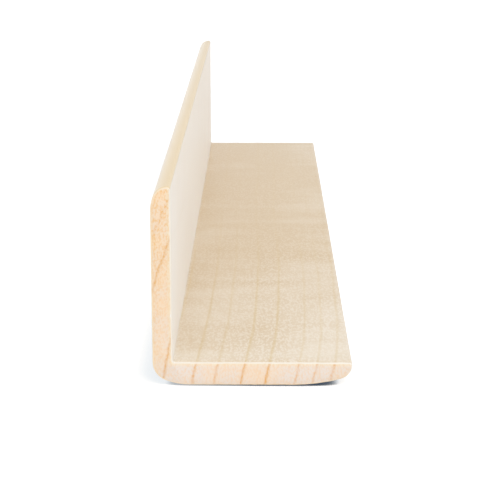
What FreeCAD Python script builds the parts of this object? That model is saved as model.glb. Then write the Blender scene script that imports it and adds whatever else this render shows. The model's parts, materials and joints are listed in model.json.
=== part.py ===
import FreeCAD, Part
import math
import os

# Corner guard moulding: one straight length of pale timber, planed to an L section and sawn square at both
# ends. The lower leg lies on its outer face and the upright leg stands at its left edge. The inner faces,
# square to each other, go against the two sides of a wall's outside corner.
# Millimetres. X runs across the lower leg, Y along the grain and Z up. The origin is at the middle of the
# length, the middle of the width and the level of the underside.

# Driving dimensions
length = 235.0
lower_leg_width = 40.0  # outer corner to tip
upright_leg_height = 40.6  # underside to tip
lower_leg_wall = 4.8
upright_leg_wall = 4.0
inner_corner_radius = 0.4

# The outer corner and both tips are rounded alike: a long arc eases off the outer face, then a nose rolls up.
corner_ease_length = 7.5  # from the upright's outer face back to where the long arc leaves the underside
corner_ease_depth = 1.0
corner_height = 4.6  # where the nose meets the upright's outer face
lower_ease_length = 12.0  # from the tip back to where the long arc leaves the outer face
lower_ease_depth = 1.3  # how far the long arc has come in from the outer face when it meets the nose
upright_ease_length = 5.2
upright_ease_depth = 0.45
tip_arris_radius = 0.6  # the edge between each tip and its inner face
end_arris = 0.5  # chamfer that the sanding of the sawn ends leaves on their edges


def arc_point(centre, radius, angle):
    """Point of a circle, at an angle counted from straight out through the outer face towards the tip."""
    return centre[0] + radius * math.sin(angle), centre[1] - radius * math.cos(angle)


def ease_and_nose(reach, depth, ease_length, ease_depth):
    """Two arcs of three points each, from the outer face up to a given depth at the given reach.
    A point is (distance along the leg from the outer corner, distance in from the outer face)."""
    # The long arc starts level with the outer face, the nose ends square to it, and the two share a tangent
    # where they meet. That makes a quadratic in half_slope, the tangent of half the angle of that meeting.
    nose_depth = depth - ease_depth
    a = ease_length + nose_depth
    b = ease_length - nose_depth - ease_depth
    half_slope = (math.sqrt(b * b + 4 * a * ease_depth) - b) / (2 * a)
    slope_angle = 2 * math.atan(half_slope)

    ease_radius = ease_depth / (1 - math.cos(slope_angle))
    ease_start = (reach - ease_length, 0.0)
    ease_centre = (ease_start[0], ease_radius)
    ease_end = arc_point(ease_centre, ease_radius, slope_angle)

    nose_radius = nose_depth / math.cos(slope_angle)
    nose_centre = (reach - nose_radius, depth)
    nose_end = (reach, depth)
    return [
        [ease_start, arc_point(ease_centre, ease_radius, slope_angle / 2), ease_end],
        [ease_end, arc_point(nose_centre, nose_radius, (slope_angle + math.pi / 2) / 2), nose_end],
    ]


def tip_runs(reach, wall, ease_length, ease_depth):
    """The tip of one leg, from its outer face round to its inner face."""
    nose_level = wall - tip_arris_radius
    arris_centre = (reach - tip_arris_radius, nose_level)
    return [
        *ease_and_nose(reach, nose_level, ease_length, ease_depth),
        quarter_arc((reach, nose_level), arris_centre, (arris_centre[0], wall)),
    ]


def quarter_arc(start, centre, end):
    """A quarter turn about a centre, from one tangent point to the other, as a three-point run."""
    radius = math.dist(centre, start)
    middle = [(a + b) / 2 - c for a, b, c in zip(start, end, centre)]
    reach = radius / math.hypot(*middle)
    return [start, (centre[0] + middle[0] * reach, centre[1] + middle[1] * reach), end]


def section_runs():
    """The closed L section, anticlockwise from the outer corner, as straight runs of two points and arcs of
    three. A point is (across, up) from where the two outer faces would meet."""
    lower_tip = tip_runs(lower_leg_width, lower_leg_wall, lower_ease_length, lower_ease_depth)
    upright_tip = tip_runs(upright_leg_height, upright_leg_wall, upright_ease_length, upright_ease_depth)
    # The upright's tip runs the other way round, from the inner face to the outer, with its axes swapped.
    upright_tip = [[(across, along) for along, across in reversed(run)] for run in reversed(upright_tip)]
    # The corner does so too, from the upright's outer face to the underside, and is the mirror of a tip.
    corner = ease_and_nose(0.0, corner_height, corner_ease_length, corner_ease_depth)
    corner = [[(-along, up) for along, up in reversed(run)] for run in reversed(corner)]

    inner_x = upright_leg_wall + inner_corner_radius
    inner_z = lower_leg_wall + inner_corner_radius
    inner_round = quarter_arc((inner_x, lower_leg_wall), (inner_x, inner_z), (upright_leg_wall, inner_z))

    underside = [corner[-1][-1], lower_tip[0][0]]
    lower_inner_face = [lower_tip[-1][-1], inner_round[0]]
    upright_inner_face = [inner_round[-1], upright_tip[0][0]]
    upright_outer_face = [upright_tip[-1][-1], corner[0][0]]
    return [
        *corner, underside, *lower_tip, lower_inner_face,
        inner_round, upright_inner_face, *upright_tip, upright_outer_face,
    ]


def section_face(y):
    """The section as a flat face across the grain."""

    def place(point):
        return FreeCAD.Vector(point[0] - lower_leg_width / 2, y, point[1])

    edges = []
    for run in section_runs():
        points = [place(p) for p in run]
        curve = Part.Arc(*points) if len(points) == 3 else Part.LineSegment(*points)
        edges.append(curve.toShape())
    return Part.Face(Part.Wire(edges))


def corner_guard():
    """The section drawn out along the grain, with the arrises of both sawn ends broken."""
    stick = section_face(-length / 2).extrude(FreeCAD.Vector(0, length, 0))
    # Only the two ends have their centres away from mid-length.
    ends = [face for face in stick.Faces if abs(face.CenterOfMass.y) > length / 4]
    return stick.makeChamfer(end_arris, [edge for face in ends for edge in face.Edges])


def main():
    os.makedirs("parts", exist_ok=True)
    guard = corner_guard()
    box = guard.BoundBox
    print(f"corner_guard: {box.XLength:.2f} x {box.YLength:.2f} x {box.ZLength:.2f} mm, "
          f"{guard.Volume / 1000:.2f} cm3, solids {len(guard.Solids)}, valid {guard.isValid()}")
    guard.exportStep("parts/corner_guard.step")


main()
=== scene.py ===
import bpy
import json
import math
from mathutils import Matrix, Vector


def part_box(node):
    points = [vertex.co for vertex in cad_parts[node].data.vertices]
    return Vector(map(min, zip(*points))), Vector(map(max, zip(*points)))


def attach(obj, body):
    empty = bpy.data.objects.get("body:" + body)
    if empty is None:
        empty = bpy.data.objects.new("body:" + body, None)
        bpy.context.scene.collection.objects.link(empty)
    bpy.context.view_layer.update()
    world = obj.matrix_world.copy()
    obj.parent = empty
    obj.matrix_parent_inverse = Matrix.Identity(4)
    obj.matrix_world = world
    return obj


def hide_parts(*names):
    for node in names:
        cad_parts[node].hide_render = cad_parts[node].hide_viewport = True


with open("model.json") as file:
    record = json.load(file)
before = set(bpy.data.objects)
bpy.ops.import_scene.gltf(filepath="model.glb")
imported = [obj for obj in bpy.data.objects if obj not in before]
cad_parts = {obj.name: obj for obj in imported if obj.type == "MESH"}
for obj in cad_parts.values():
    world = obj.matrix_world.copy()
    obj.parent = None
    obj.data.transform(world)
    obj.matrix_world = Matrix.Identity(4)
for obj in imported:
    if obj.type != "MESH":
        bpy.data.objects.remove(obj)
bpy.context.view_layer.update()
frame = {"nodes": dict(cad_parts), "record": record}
print("frame loaded:", sorted(frame["nodes"]))

mm = 0.001  # scene units are metres, sizes below are in mm
nodeLow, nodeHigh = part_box("corner_guard")
mounts = {m["name"]: Vector(m["pos_m"]) for m in frame["record"]["mounts"]}


def srgb(hexColour):  # "#RRGGBB" to linear RGBA
    parts = [int(hexColour[i:i + 2], 16) / 255 for i in (1, 3, 5)]
    linear = [p / 12.92 if p <= 0.04045 else ((p + 0.055) / 1.055) ** 2.4 for p in parts]
    return (*linear, 1.0)


def addNode(owner, kind, feeds=None, out=0, **settings):  # feeds: socket to value or node output
    node = owner.node_tree.nodes.new("ShaderNode" + kind)
    for name, value in settings.items():
        setattr(node, name, value)
    for socket, value in (feeds or {}).items():
        if isinstance(value, bpy.types.NodeSocket):
            owner.node_tree.links.new(value, node.inputs[socket])
        else:
            node.inputs[socket].default_value = value
    return node.outputs if out is None else node.outputs[out]


# Camera: facing the near end, looking down along the stick
cameraSet = {
    "lens": 107.6,
    "fromNearEnd": 282.9,
    "aside": 1.75,  # right of the middle of the width
    "height": 103.26,
    "lookDown": 14.88,  # degrees
    "turnLeft": 0.454,
}

cameraData = bpy.data.cameras.new("camera")
cameraData.lens = cameraSet["lens"]
camera = bpy.data.objects.new("camera", cameraData)
bpy.context.scene.collection.objects.link(camera)
camera.location = (
    cameraSet["aside"] * mm,
    nodeLow.y - cameraSet["fromNearEnd"] * mm,
    cameraSet["height"] * mm,
)
camera.rotation_euler = (
    math.radians(90 - cameraSet["lookDown"]), 0, math.radians(cameraSet["turnLeft"])
)
bpy.context.scene.camera = camera
print("camera placed")


# The moulding: its section is walked point by point, filled, and drawn out along the grain
guardSet = {
    "innerCorner": 0.4,  # radius
    "tipArris": 0.6,  # radius
    "cornerHeight": 4.6,  # where the outer corner's nose meets the upright's face
    "cornerEase": (7.5, 1.0),  # length and depth of the long arc at the outer corner and at each tip
    "lowerEase": (12.0, 1.3),
    "uprightEase": (5.2, 0.45),
    "endArris": 0.5,
    "acrossStep": 0.5,  # mesh spacing across the section and along the grain
    "alongStep": 1.6,
    "fewestArcSteps": 4,
    "touch": 0.01,  # points this near are one
    "arrisWobble": (1.3, 0.09),  # how unevenly the sawn edges were sanded: size of a bump, depth
    "planingWaves": (9.0, 0.03),
    "smoothBelow": 25,  # degrees
}


def walkLine(start, end, spacing):
    count = max(1, round((end - start).length / spacing))
    for _ in range(count):
        bpy.ops.mesh.extrude_region_move(TRANSFORM_OT_translate={"value": (end - start) / count})


def walkArc(radius, centre, angle, spacing, inward=False):  # anticlockwise as the camera sees it
    count = max(guardSet["fewestArcSteps"], round(radius * angle / spacing))
    axis = (0, -1, 0) if inward else (0, 1, 0)  # spin turns against the right hand
    bpy.ops.mesh.spin(steps=count, angle=angle, center=centre, axis=axis)


def easeCurve(depth, ease):  # the long arc and the nose share a tangent where they meet
    easeLength, easeDepth = (s * mm for s in ease)
    noseDepth = depth - easeDepth
    # a quadratic in the tangent of half the slope
    a = easeLength + noseDepth
    b = easeLength - noseDepth - easeDepth
    slope = 2 * math.atan((math.sqrt(b * b + 4 * a * easeDepth) - b) / (2 * a))
    return {
        "slope": slope,
        "easeRadius": easeDepth / (1 - math.cos(slope)),
        "easeLength": easeLength,
        "noseRadius": noseDepth / math.cos(slope),
        "noseLevel": depth,
    }


def walkSection():
    y = nodeLow.y
    left, right, top = nodeLow.x, nodeHigh.x, nodeHigh.z
    faceZ = mounts["lower_wall_face"].z  # the lower leg's upper face
    faceX = mounts["upright_wall_face"].x
    inner = guardSet["innerCorner"] * mm
    arris = guardSet["tipArris"] * mm
    corner = easeCurve(guardSet["cornerHeight"] * mm, guardSet["cornerEase"])
    lower = easeCurve(faceZ - nodeLow.z - arris, guardSet["lowerEase"])
    upright = easeCurve(faceX - left - arris, guardSet["uprightEase"])
    step = guardSet["acrossStep"] * mm
    quarter = math.pi / 2

    bpy.ops.mesh.primitive_plane_add(size=arris)
    guard = bpy.context.object
    bpy.ops.object.mode_set(mode="EDIT")
    bpy.ops.mesh.merge(type="CENTER")  # a plane shrunk to one point is the pen
    cornerX = left + corner["easeLength"]
    bpy.ops.transform.translate(value=(cornerX, y, 0))

    easeX = right - lower["easeLength"]
    walkLine(Vector((cornerX, y, 0)), Vector((easeX, y, 0)), step)
    walkArc(lower["easeRadius"], (easeX, y, lower["easeRadius"]), lower["slope"], step)
    nose = lower["noseRadius"]
    walkArc(nose, (right - nose, y, lower["noseLevel"]), quarter - lower["slope"], step)
    walkArc(arris, (right - arris, y, faceZ - arris), quarter, step)
    walkLine(Vector((right - arris, y, faceZ)), Vector((faceX + inner, y, faceZ)), step)
    walkArc(inner, (faceX + inner, y, faceZ + inner), quarter, step, inward=True)
    walkLine(Vector((faceX, y, faceZ + inner)), Vector((faceX, y, top - arris)), step)
    walkArc(arris, (faceX - arris, y, top - arris), quarter, step)
    nose = upright["noseRadius"]
    walkArc(nose, (left + upright["noseLevel"], y, top - nose), quarter - upright["slope"], step)
    easeZ = top - upright["easeLength"]
    walkArc(upright["easeRadius"], (left + upright["easeRadius"], y, easeZ), upright["slope"], step)
    walkLine(Vector((left, y, easeZ)), Vector((left, y, corner["noseLevel"])), step)
    nose = corner["noseRadius"]
    walkArc(nose, (left + nose, y, corner["noseLevel"]), quarter - corner["slope"], step)
    walkArc(corner["easeRadius"], (cornerX, y, corner["easeRadius"]), corner["slope"], step)

    bpy.ops.mesh.select_all(action="SELECT")
    bpy.ops.mesh.remove_doubles(threshold=guardSet["touch"] * mm)
    bpy.ops.mesh.edge_face_add()
    return guard


def selectWhere(obj, test):  # selects the vertices that pass, and what lies between them
    bpy.ops.object.mode_set(mode="EDIT")
    bpy.ops.mesh.select_mode(type="VERT")
    bpy.ops.mesh.select_all(action="DESELECT")
    bpy.ops.object.mode_set(mode="OBJECT")
    for vertex in obj.data.vertices:
        vertex.select = test(vertex.co)
    bpy.ops.object.mode_set(mode="EDIT")


def displace(obj, name, group=""):  # shallow relief from a cloud pattern
    bumpSize, depth = guardSet[name]
    clouds = bpy.data.textures.new(name, type="CLOUDS")
    clouds.noise_scale = bumpSize * mm
    clouds.noise_depth = 2
    relief = obj.modifiers.new(name, type="DISPLACE")
    relief.texture = clouds
    relief.texture_coords = "GLOBAL"
    relief.strength = depth * mm
    relief.mid_level = 0.5
    relief.vertex_group = group
    bpy.ops.object.modifier_apply(modifier=name)


def buildGuard():
    guard = walkSection()
    guard.name = guard.data.name = "mouldingStick"
    length = nodeHigh.y - nodeLow.y
    rows = round(length / (guardSet["alongStep"] * mm))
    for _ in range(rows):
        bpy.ops.mesh.extrude_region_move(TRANSFORM_OT_translate={"value": (0, length / rows, 0)})
    bpy.ops.mesh.select_all(action="SELECT")
    bpy.ops.mesh.normals_make_consistent(inside=False)

    # the edges round both sawn ends are eased by sanding
    touch = guardSet["touch"] * mm
    selectWhere(guard, lambda co: abs(abs(co.y) - length / 2) < touch)
    bpy.ops.mesh.bevel(
        offset=guardSet["endArris"] * mm, segments=2, profile=0.5, affect="EDGES", clamp_overlap=True
    )
    bpy.ops.object.mode_set(mode="OBJECT")

    ends = guard.vertex_groups.new(name="ends")
    endFrom = length / 2 - 2 * guardSet["endArris"] * mm
    ends.add([v.index for v in guard.data.vertices if abs(v.co.y) > endFrom], 1.0, "REPLACE")
    displace(guard, "arrisWobble", "ends")
    displace(guard, "planingWaves")
    bpy.ops.object.shade_smooth_by_angle(angle=math.radians(guardSet["smoothBelow"]))
    return guard


bpy.ops.object.select_all(action="DESELECT")
guard = buildGuard()
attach(guard, "root")
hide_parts("corner_guard")
print("moulding modelled:", len(guard.data.polygons), "faces")


# Planed basswood: pale and close-grained, with thin tan ring lines that start at the sawn ends and
# run along the faces, peach end grain full of pores, silky flecks where the rays are cut, and a
# whitish sheen along the fibres, partly from the shader's sheen and partly painted sheen in the
# flat-sawn colour. Flecks and pores are drawn coarser than real ones, so that they show.
woodSet = {
    "pith": (103.0, -18.0),  # the tree's centre, right of the section and a little below it (x, z)
    "rings": (  # radius of each growth ring, and how dark it is
        (89.5, 0.55), (92.9, 0.5), (96.4, 0.5), (102.2, 0.95), (107.0, 0.9),
        (112.3, 0.55), (116.6, 0.8), (122.5, 0.65), (128.6, 0.66), (132.0, 0.28),
    ),
    "ringInside": 0.6,  # a ring line darkens over this much, and ends over the other
    "ringOutside": 0.3,
    "ragged": 0.25,
    "bend": (2.0, 24.0),  # the grain bends this far sideways, over about this length from the near end
    "wander": 1.4,  # and then wanders about this much
    "patterns": {  # size of a mark in mm (across, along, up), detail, roughness
        "slow": ((40.0, 90.0, 40.0), 1.0, 0.5),
        "edge": ((1.6, 18.0, 1.6), 2.0, 0.5),
        "broad": ((26.0, 60.0, 26.0), 2.0, 0.5),
        "figure": ((30.0, 9.0, 30.0), 2.0, 0.5),
        "fibre": ((0.45, 26.0, 0.45), 3.0, 0.6),
        "fleck": ((0.45, 1.1, 0.45), 2.0, 0.6),
        "fleckPatch": ((16.0, 34.0, 16.0), 1.0, 0.5),
        "pores": ((0.36, 0.42, 0.60), 3.0, 0.7),
        "warmth": ((6.0, 6.0, 6.0), 2.0, 0.5),
    },
    "flatCut": (0.62, 0.80),  # a face is flat sawn where its normal is this near to the ring's
    "barkPaling": 0.5,  # the heart side has the flat-sawn colour with its painted sheen in full, the bark side this much
    "figureInTone": 1.3,  # weights beside the broad tone
    "fibreInTone": 0.4,
    "toneRange": (0.92, 1.92),
    "farDarkening": (130.0, 0.6),  # the stick darkens towards the far end over this length, by this much of the tone
    "tipPaling": (2.0, 18.0, 0.2),  # the lower leg pales towards its tip, between these places
    "sapwood": (126.5, 133.5, 0.9),  # the upright's tip turns to warm cream between these radii
    "sapTilt": (0.25, 0.65),  # where a surface faces up this far
    "fleckRange": (0.43, 0.63),  # pattern values where a fleck starts and is full; the same for the others
    "fleckPatches": (0.38, 0.62),
    "fleckShare": (0.38, 0.54),  # how strong the flecks are between patches, and in them
    "fleckFade": 0.4,  # what is left of them where the stick has darkened towards the far end
    "ringOnFace": 0.45,
    "ringOnHeart": 0.25,  # of that, on the heart side
    "ringFade": (40.0, 120.0, 0.2),  # the face's lines pale between these distances, to this share
    "endWarming": (120.0, 131.0),  # the sawn ends grow warmer between these radii
    "warmOutside": 0.45,  # weight beside the patches of warmth
    "warmRange": (0.4, 1.0),
    "poreRange": (0.43, 0.63),
    "poreOpening": (123.5, 131.5),
    "poreShare": (0.30, 0.70),  # how dark the pores are inside and outside those radii
    "poresInRing": 0.65,  # how much of a ring's darkness stays between its pores
    "edgeHighlight": (0.2, 1.1, 0.7),  # painted highlight: the ends are paler this deep under the inner faces, by this share
    "quarterPale": "#EADCC6",  # faces cut along the rays
    "quarterTan": "#D6BC93",
    "quarterFleck": "#F6EDE0",
    "sapCream": "#EDD3A2",
    "flatPaleWithSheen": "#F9F0E2",  # faces cut along the rings; their whitish colour is partly the wood's paler tone, partly painted sheen
    "flatCreamWithSheen": "#F2E4D0",
    "faceRing": "#D1B058",
    "endPale": "#F1E4D9",
    "endWarm": "#FDE0BE",
    # the painted highlight along the ends' inner edges, also on the upright tip's arris
    "endEdgeHighlight": "#FBE8C6",
    "endPore": "#F6C47C",
    "endRing": "#E7AA57",
    # sanded arrises: paler than the wood, with painted highlight lines, whitish on the inner edges and
    # warm on the outer ones
    "innerArrisHighlight": "#FAF3E8",
    "outerArrisHighlight": "#FDE4BE",
    "arrisTilt": (0.16, 0.36),  # how far a surface faces along the grain where it is a sanded arris
    "endTilt": (0.93, 0.985),  # and where it is a sawn end
    "arrisSides": 0.3,  # the arris turns from its outer to its inner painted highlight over this much tilt
    "ior": 1.47,
    "roughness": (0.40, 0.62),  # on the faces, then on the arrises and sawn ends
    "sheen": (1.0, 0.25),  # strength and roughness of the fibres' white sheen, seen along the face
    "reliefDepth": 0.05,
    "reliefStrength": 0.35,
    "flecksInRelief": 0.5,  # beside the fibres
    "poresInRelief": 0.3,
}


def basswood():
    mat = bpy.data.materials.new("planed basswood")
    mat.use_nodes = True
    mat.node_tree.nodes.clear()
    coords = addNode(mat, "TexCoord", out=None)
    spot = addNode(mat, "VectorMath", {0: coords["Object"], 3: 1 / mm}, operation="SCALE")  # in mm
    x, y, z = addNode(mat, "SeparateXYZ", {0: spot}, out=None)
    normalX, normalY, normalZ = addNode(mat, "SeparateXYZ", {0: coords["Normal"]}, out=None)
    pattern = {}
    for name, (size, detail, rough) in woodSet["patterns"].items():
        stretched = addNode(mat, "VectorMath", {0: spot, 1: [1 / s for s in size]}, operation="MULTIPLY")
        pattern[name] = addNode(mat, "TexNoise", {
            "Vector": stretched, "Scale": 1.0, "Detail": detail, "Roughness": rough,
        })

    # growth rings about the pith, bending and wandering along the grain
    bend, bendReach = woodSet["bend"]
    along = addNode(mat, "Math", {0: y, 1: nodeLow.y / mm}, operation="SUBTRACT")  # from the near end
    turn = addNode(mat, "Math", {0: along, 1: bendReach}, operation="DIVIDE")
    turn = addNode(mat, "Math", {0: turn}, operation="TANH")
    slow = addNode(mat, "MapRange", {
        "Value": pattern["slow"], "To Min": bend - woodSet["wander"], "To Max": bend + woodSet["wander"],
    })
    drift = addNode(mat, "Math", {0: turn, 1: slow}, operation="MULTIPLY")
    acrossFromPith = addNode(mat, "Math", {0: x, 1: woodSet["pith"][0]}, operation="SUBTRACT")
    acrossFromPith = addNode(mat, "Math", {0: acrossFromPith, 1: drift}, operation="SUBTRACT")
    upFromPith = addNode(mat, "Math", {0: z, 1: woodSet["pith"][1]}, operation="SUBTRACT")
    fromPith = addNode(mat, "CombineXYZ", {0: acrossFromPith, 2: upFromPith})
    radius = addNode(mat, "VectorMath", {0: fromPith}, out="Value", operation="LENGTH")
    edge = addNode(mat, "MapRange", {
        "Value": pattern["edge"], "To Min": -woodSet["ragged"], "To Max": woodSet["ragged"],
    })
    radius = addNode(mat, "Math", {0: radius, 1: edge}, operation="ADD")

    first = woodSet["rings"][0][0] - 2 * woodSet["ringInside"]
    last = woodSet["rings"][-1][0] + 2 * woodSet["ringInside"]
    place = addNode(mat, "MapRange", {"Value": radius, "From Min": first, "From Max": last})
    ringRamp = addNode(mat, "ValToRGB", {0: place})
    stops = ringRamp.node.color_ramp
    stops.interpolation = "EASE"
    lines = [(first, 0.0)]
    for ring, dark in woodSet["rings"]:
        lines.append((ring - woodSet["ringInside"], 0.0))
        lines.append((ring, dark))
        lines.append((ring + woodSet["ringOutside"], 0.0))
    stops.elements.remove(stops.elements[1])
    for at, dark in lines:
        stop = stops.elements.new((at - first) / (last - first))
        stop.color = (dark, dark, dark, 1)
    stops.elements.remove(stops.elements[0])

    # how far the face is cut along the rings (flat sawn) instead of across them (quarter sawn)
    outward = addNode(mat, "VectorMath", {0: fromPith}, operation="NORMALIZE")
    cut = addNode(mat, "VectorMath", {
        0: outward, 1: coords["Normal"],
    }, out="Value", operation="DOT_PRODUCT")
    cutFrom, cutTo = woodSet["flatCut"]
    heartSide = addNode(mat, "MapRange", {"Value": cut, "From Min": -cutFrom, "From Max": -cutTo})
    barkSide = addNode(mat, "MapRange", {"Value": cut, "From Min": cutFrom, "From Max": cutTo})
    flatShare = addNode(mat, "Math", {0: heartSide, 1: barkSide}, operation="ADD")

    # faces: broad tone, cross figure and fibre streaks
    tone = addNode(mat, "Math", {
        0: pattern["figure"], 1: woodSet["figureInTone"], 2: pattern["broad"],
    }, operation="MULTIPLY_ADD")
    tone = addNode(mat, "Math", {
        0: pattern["fibre"], 1: woodSet["fibreInTone"], 2: tone,
    }, operation="MULTIPLY_ADD")
    toneFrom, toneTo = woodSet["toneRange"]
    flatTone = addNode(mat, "MapRange", {"Value": tone, "From Min": toneFrom, "From Max": toneTo})
    darkeningLength, darkeningDepth = woodSet["farDarkening"]
    farShare = addNode(mat, "MapRange", {
        "Value": along, "From Max": darkeningLength,
    }, interpolation_type="SMOOTHSTEP")
    tipFrom, tipTo, tipPale = woodSet["tipPaling"]
    paling = addNode(mat, "MapRange", {
        "Value": x, "From Min": tipFrom, "From Max": tipTo, "To Max": -tipPale,
    }, interpolation_type="SMOOTHSTEP")
    tone = addNode(mat, "Math", {0: farShare, 1: darkeningDepth, 2: tone}, operation="MULTIPLY_ADD")
    tone = addNode(mat, "Math", {0: tone, 1: paling}, operation="ADD")
    tone = addNode(mat, "MapRange", {"Value": tone, "From Min": toneFrom, "From Max": toneTo})
    quarter = addNode(mat, "Mix", {
        0: tone, 6: srgb(woodSet["quarterPale"]), 7: srgb(woodSet["quarterTan"]),
    }, out=2, data_type="RGBA")
    # the flat-sawn colour, paler than the wood's own tone by a painted sheen
    flat = addNode(mat, "Mix", {
        0: flatTone, 6: srgb(woodSet["flatPaleWithSheen"]), 7: srgb(woodSet["flatCreamWithSheen"]),
    }, out=2, data_type="RGBA")

    # silky flecks on the quarter, in patches
    fleckFrom, fleckTo = woodSet["fleckRange"]
    fleck = addNode(mat, "MapRange", {
        "Value": pattern["fleck"], "From Min": fleckFrom, "From Max": fleckTo,
    }, interpolation_type="SMOOTHSTEP")
    fleckLow, fleckHigh = woodSet["fleckShare"]
    patchFrom, patchTo = woodSet["fleckPatches"]
    patch = addNode(mat, "MapRange", {
        "Value": pattern["fleckPatch"], "From Min": patchFrom, "From Max": patchTo,
        "To Min": fleckLow, "To Max": fleckHigh,
    })
    fleck = addNode(mat, "Math", {0: fleck, 1: patch}, operation="MULTIPLY")
    fleckLeft = addNode(mat, "MapRange", {
        "Value": farShare, "To Min": 1.0, "To Max": woodSet["fleckFade"],
    })
    fleck = addNode(mat, "Math", {0: fleck, 1: fleckLeft}, operation="MULTIPLY")
    onQuarter = addNode(mat, "MapRange", {"Value": flatShare, "To Min": 1.0, "To Max": 0.0})
    fleck = addNode(mat, "Math", {0: fleck, 1: onQuarter}, operation="MULTIPLY")
    quarter = addNode(mat, "Mix", {
        0: fleck, 6: quarter, 7: srgb(woodSet["quarterFleck"]),
    }, out=2, data_type="RGBA")
    sapFrom, sapTo, sapShare = woodSet["sapwood"]
    sapwood = addNode(mat, "MapRange", {
        "Value": radius, "From Min": sapFrom, "From Max": sapTo, "To Max": sapShare,
    }, interpolation_type="SMOOTHSTEP")
    sapTiltFrom, sapTiltTo = woodSet["sapTilt"]
    upward = addNode(mat, "MapRange", {"Value": normalZ, "From Min": sapTiltFrom, "From Max": sapTiltTo})
    sapwood = addNode(mat, "Math", {0: sapwood, 1: upward}, operation="MULTIPLY")
    # where the flat-sawn colour with its painted sheen takes over
    flatSheenPart = addNode(mat, "Math", {
        0: barkSide, 1: woodSet["barkPaling"], 2: heartSide,
    }, operation="MULTIPLY_ADD")
    face = addNode(mat, "Mix", {0: flatSheenPart, 6: quarter, 7: flat}, out=2, data_type="RGBA")
    face = addNode(mat, "Mix", {
        0: sapwood, 6: face, 7: srgb(woodSet["sapCream"]),
    }, out=2, data_type="RGBA")

    # ring lines on the faces, paler further from the near end
    fadeFrom, fadeTo, fadeLeft = woodSet["ringFade"]
    onFace = woodSet["ringOnFace"]
    ringShare = addNode(mat, "MapRange", {
        "Value": along, "From Min": fadeFrom, "From Max": fadeTo,
        "To Min": onFace, "To Max": onFace * fadeLeft,
    }, interpolation_type="SMOOTHSTEP")
    onHeart = addNode(mat, "MapRange", {
        "Value": heartSide, "To Min": 1.0, "To Max": woodSet["ringOnHeart"],
    })
    ringShare = addNode(mat, "Math", {0: ringShare, 1: onHeart}, operation="MULTIPLY")
    ringShare = addNode(mat, "Math", {0: ringShare, 1: ringRamp}, operation="MULTIPLY")
    face = addNode(mat, "Mix", {
        0: ringShare, 6: face, 7: srgb(woodSet["faceRing"]),
    }, out=2, data_type="RGBA")

    # sawn ends: peach, warmer and more open in the outer rings, with darker ring lines
    warmFrom, warmTo = woodSet["endWarming"]
    outer = addNode(mat, "MapRange", {"Value": radius, "From Min": warmFrom, "From Max": warmTo})
    warm = addNode(mat, "Math", {
        0: outer, 1: woodSet["warmOutside"], 2: pattern["warmth"],
    }, operation="MULTIPLY_ADD")
    warmLow, warmHigh = woodSet["warmRange"]
    warm = addNode(mat, "MapRange", {"Value": warm, "From Min": warmLow, "From Max": warmHigh})
    end = addNode(mat, "Mix", {
        0: warm, 6: srgb(woodSet["endPale"]), 7: srgb(woodSet["endWarm"]),
    }, out=2, data_type="RGBA")
    innerFaces = (mounts["upright_wall_face"].x / mm, nodeLow.y / mm, mounts["lower_wall_face"].z / mm)
    # how deep the place lies under the inner faces
    under = addNode(mat, "VectorMath", {0: innerFaces, 1: spot}, operation="SUBTRACT")
    under = addNode(mat, "VectorMath", {0: under, 1: (0, 0, 0)}, operation="MAXIMUM")
    depth = addNode(mat, "VectorMath", {0: under}, out="Value", operation="LENGTH")
    # painted highlight: the ends turn paler just under the inner faces, beside the arrises
    highlightFrom, highlightTo, highlight = woodSet["edgeHighlight"]
    highlight = addNode(mat, "MapRange", {
        "Value": depth, "From Min": highlightFrom, "From Max": highlightTo, "To Min": highlight, "To Max": 0.0,
    }, interpolation_type="SMOOTHSTEP")
    end = addNode(mat, "Mix", {0: highlight, 6: end, 7: srgb(woodSet["endEdgeHighlight"])}, out=2, data_type="RGBA")
    poreFrom, poreTo = woodSet["poreRange"]
    pores = addNode(mat, "MapRange", {
        "Value": pattern["pores"], "From Min": poreFrom, "From Max": poreTo,
    }, interpolation_type="SMOOTHSTEP")
    poreLow, poreHigh = woodSet["poreShare"]
    openFrom, openTo = woodSet["poreOpening"]
    poreShare = addNode(mat, "MapRange", {
        "Value": radius, "From Min": openFrom, "From Max": openTo, "To Min": poreLow, "To Max": poreHigh,
    })
    speckle = addNode(mat, "Math", {0: pores, 1: poreShare}, operation="MULTIPLY")
    end = addNode(mat, "Mix", {
        0: speckle, 6: end, 7: srgb(woodSet["endPore"]),
    }, out=2, data_type="RGBA")
    ringDark = addNode(mat, "MapRange", {
        "Value": pores, "To Min": woodSet["poresInRing"], "To Max": 1.0,
    })
    ringDark = addNode(mat, "Math", {0: ringRamp, 1: ringDark}, operation="MULTIPLY")
    end = addNode(mat, "Mix", {
        0: ringDark, 6: end, 7: srgb(woodSet["endRing"]),
    }, out=2, data_type="RGBA")

    # which surface this is: planed face, sanded arris or sawn end
    facing = addNode(mat, "Math", {0: normalY}, operation="ABSOLUTE")
    arrisFrom, arrisTo = woodSet["arrisTilt"]
    arrisShare = addNode(mat, "MapRange", {"Value": facing, "From Min": arrisFrom, "From Max": arrisTo})
    endFrom, endTo = woodSet["endTilt"]
    endShare = addNode(mat, "MapRange", {"Value": facing, "From Min": endFrom, "From Max": endTo})
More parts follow.
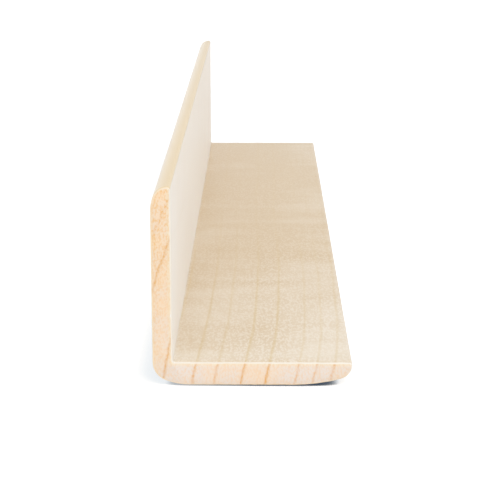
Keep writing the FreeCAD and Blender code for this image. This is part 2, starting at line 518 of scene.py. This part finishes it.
    # arris colour: painted highlight, whitish where the arris faces up or right, warm where it faces down
    # or left, and the end's painted edge highlight on the upright's tip
    inward = addNode(mat, "Math", {0: normalX, 1: normalZ}, operation="ADD")
    sides = woodSet["arrisSides"]
    inward = addNode(mat, "MapRange", {"Value": inward, "From Min": -sides, "From Max": sides})
    arris = addNode(mat, "Mix", {
        0: inward, 6: srgb(woodSet["outerArrisHighlight"]), 7: srgb(woodSet["innerArrisHighlight"]),
    }, out=2, data_type="RGBA")
    arris = addNode(mat, "Mix", {
        0: sapwood, 6: arris, 7: srgb(woodSet["endEdgeHighlight"]),
    }, out=2, data_type="RGBA")
    colour = addNode(mat, "Mix", {0: arrisShare, 6: face, 7: arris}, out=2, data_type="RGBA")
    colour = addNode(mat, "Mix", {0: endShare, 6: colour, 7: end}, out=2, data_type="RGBA")

    # shallow relief: fibres and flecks along the faces, pores on the ends
    faceRelief = addNode(mat, "Math", {
        0: pattern["fleck"], 1: woodSet["flecksInRelief"], 2: pattern["fibre"],
    }, operation="MULTIPLY_ADD")
    endRelief = addNode(mat, "Math", {
        0: pattern["pores"], 1: woodSet["poresInRelief"],
    }, operation="MULTIPLY")
    relief = addNode(mat, "Mix", {0: endShare, 2: faceRelief, 3: endRelief}, data_type="FLOAT")
    bump = addNode(mat, "Bump", {
        "Strength": woodSet["reliefStrength"], "Distance": woodSet["reliefDepth"] * mm, "Height": relief,
    })
    faceRough, endRough = woodSet["roughness"]
    rough = addNode(mat, "MapRange", {"Value": arrisShare, "To Min": faceRough, "To Max": endRough})
    sheen, sheenRough = woodSet["sheen"]
    shader = addNode(mat, "BsdfPrincipled", {
        "Base Color": colour, "Roughness": rough, "IOR": woodSet["ior"], "Normal": bump,
        "Sheen Weight": sheen, "Sheen Roughness": sheenRough,
    })
    addNode(mat, "OutputMaterial", {"Surface": shader}, out=None)
    return mat


guard.data.materials.clear()
guard.data.materials.append(basswood())
print("wood finished")


# Studio: a bright tent on white paper, with white all round for the camera
studioSet = {
    "floorSize": 6000.0,
    "floorDrop": 0.05,  # keeps the floor clear of the planing waves
    "paper": "#F4F4F4",  # the floor as the moulding sees it
    "shadePart": 0.55,  # the floor as the camera sees it: this much takes the shade
    "whitePart": 0.65,  # and this much stays
    "contact": {  # the darkest shade, close under the edges that face right
        "colour": "#4A5460", "reach": 1.5, "towards": (-0.5, 0.35, 0.79), "open": (0.75, 0.35),
        "leftShare": 0.35,  # it pales to this share from the middle to the left side
    },
    "foot": {  # a soft shade at the upright's foot
        "colour": "#ECF0F3", "reach": 10.0, "towards": (0.55, -0.35, 0.76), "open": (0.75, 0.35),
    },
    "shadeSamples": 16,
    "tentLight": 0.69,
}
lamps = {  # degrees right of the camera's side, degrees up, degrees across, strength
    "key": {"side": 50, "up": 50, "across": 50, "level": 0.75},
    "fill": {"side": -40, "up": 50, "across": 80, "level": 0.53},
}


def buildFloor():
    bpy.ops.object.select_all(action="DESELECT")
    bpy.ops.mesh.primitive_plane_add(size=studioSet["floorSize"] * mm)
    floor = bpy.context.object
    floor.name = "floor"
    bpy.ops.object.mode_set(mode="EDIT")
    bpy.ops.transform.translate(value=(0, 0, nodeLow.z - studioSet["floorDrop"] * mm))
    bpy.ops.object.mode_set(mode="OBJECT")
    mat = bpy.data.materials.new("white paper sweep")
    mat.use_nodes = True
    mat.node_tree.nodes.clear()
    place = addNode(mat, "TexCoord", out="Object")
    across = addNode(mat, "SeparateXYZ", {0: place})
    middle = (nodeLow.x + nodeHigh.x) / 2
    fromCamera = addNode(mat, "LightPath", out="Is Camera Ray")
    paper = addNode(mat, "BsdfDiffuse", {"Color": srgb(studioSet["paper"])})
    shaded = addNode(mat, "BsdfDiffuse", {"Color": (*[studioSet["shadePart"]] * 3, 1)})
    kept = addNode(mat, "Emission", {"Color": (*[studioSet["whitePart"]] * 3, 1), "Strength": 1.0})
    seen = addNode(mat, "AddShader", {0: shaded, 1: kept})
    for name in ("foot", "contact"):
        shade = studioSet[name]
        towards = addNode(mat, "CombineXYZ", dict(enumerate(shade["towards"])))
        openness = addNode(mat, "AmbientOcclusion", {
            "Distance": shade["reach"] * mm, "Normal": towards,
        }, out="AO", samples=studioSet["shadeSamples"])
        closeness = addNode(mat, "MapRange", {
            "Value": openness, "From Min": shade["open"][0], "From Max": shade["open"][1],
        }, interpolation_type="SMOOTHSTEP")
        if "leftShare" in shade:
            deeper = addNode(mat, "MapRange", {
                "Value": across, "From Min": nodeLow.x, "From Max": middle, "To Min": shade["leftShare"],
            })
            closeness = addNode(mat, "Math", {0: closeness, 1: deeper}, operation="MULTIPLY")
        dark = addNode(mat, "Emission", {"Color": srgb(shade["colour"]), "Strength": 1.0})
        seen = addNode(mat, "MixShader", {0: closeness, 1: seen, 2: dark})
    surface = addNode(mat, "MixShader", {0: fromCamera, 1: paper, 2: seen})
    addNode(mat, "OutputMaterial", {"Surface": surface}, out=None)
    floor.data.materials.append(mat)
    return floor


def buildWorld():
    world = bpy.data.worlds.new("light tent")
    world.use_nodes = True
    world.node_tree.nodes.clear()
    rays = addNode(world, "LightPath", out=None)
    seen = rays["Is Camera Ray"]
    for kind in ("Is Glossy Ray", "Is Transmission Ray"):
        seen = addNode(world, "Math", {0: seen, 1: rays[kind]}, operation="MAXIMUM")
    strength = addNode(world, "MapRange", {
        "Value": seen, "To Min": studioSet["tentLight"], "To Max": 1.0,
    })
    back = addNode(world, "Background", {"Color": (1, 1, 1, 1), "Strength": strength})
    addNode(world, "OutputWorld", {"Surface": back}, out=None)
    bpy.context.scene.world = world


def buildLamps():
    for name, lamp in lamps.items():
        data = bpy.data.lights.new(name, type="SUN")
        data.angle = math.radians(lamp["across"])
        data.energy = lamp["level"]
        obj = bpy.data.objects.new(name, data)
        bpy.context.scene.collection.objects.link(obj)
        obj.rotation_euler = (math.radians(90 - lamp["up"]), 0, math.radians(lamp["side"]))


floor = buildFloor()
buildWorld()
buildLamps()
bpy.context.scene.view_settings.view_transform = "Standard"
print("studio lit")
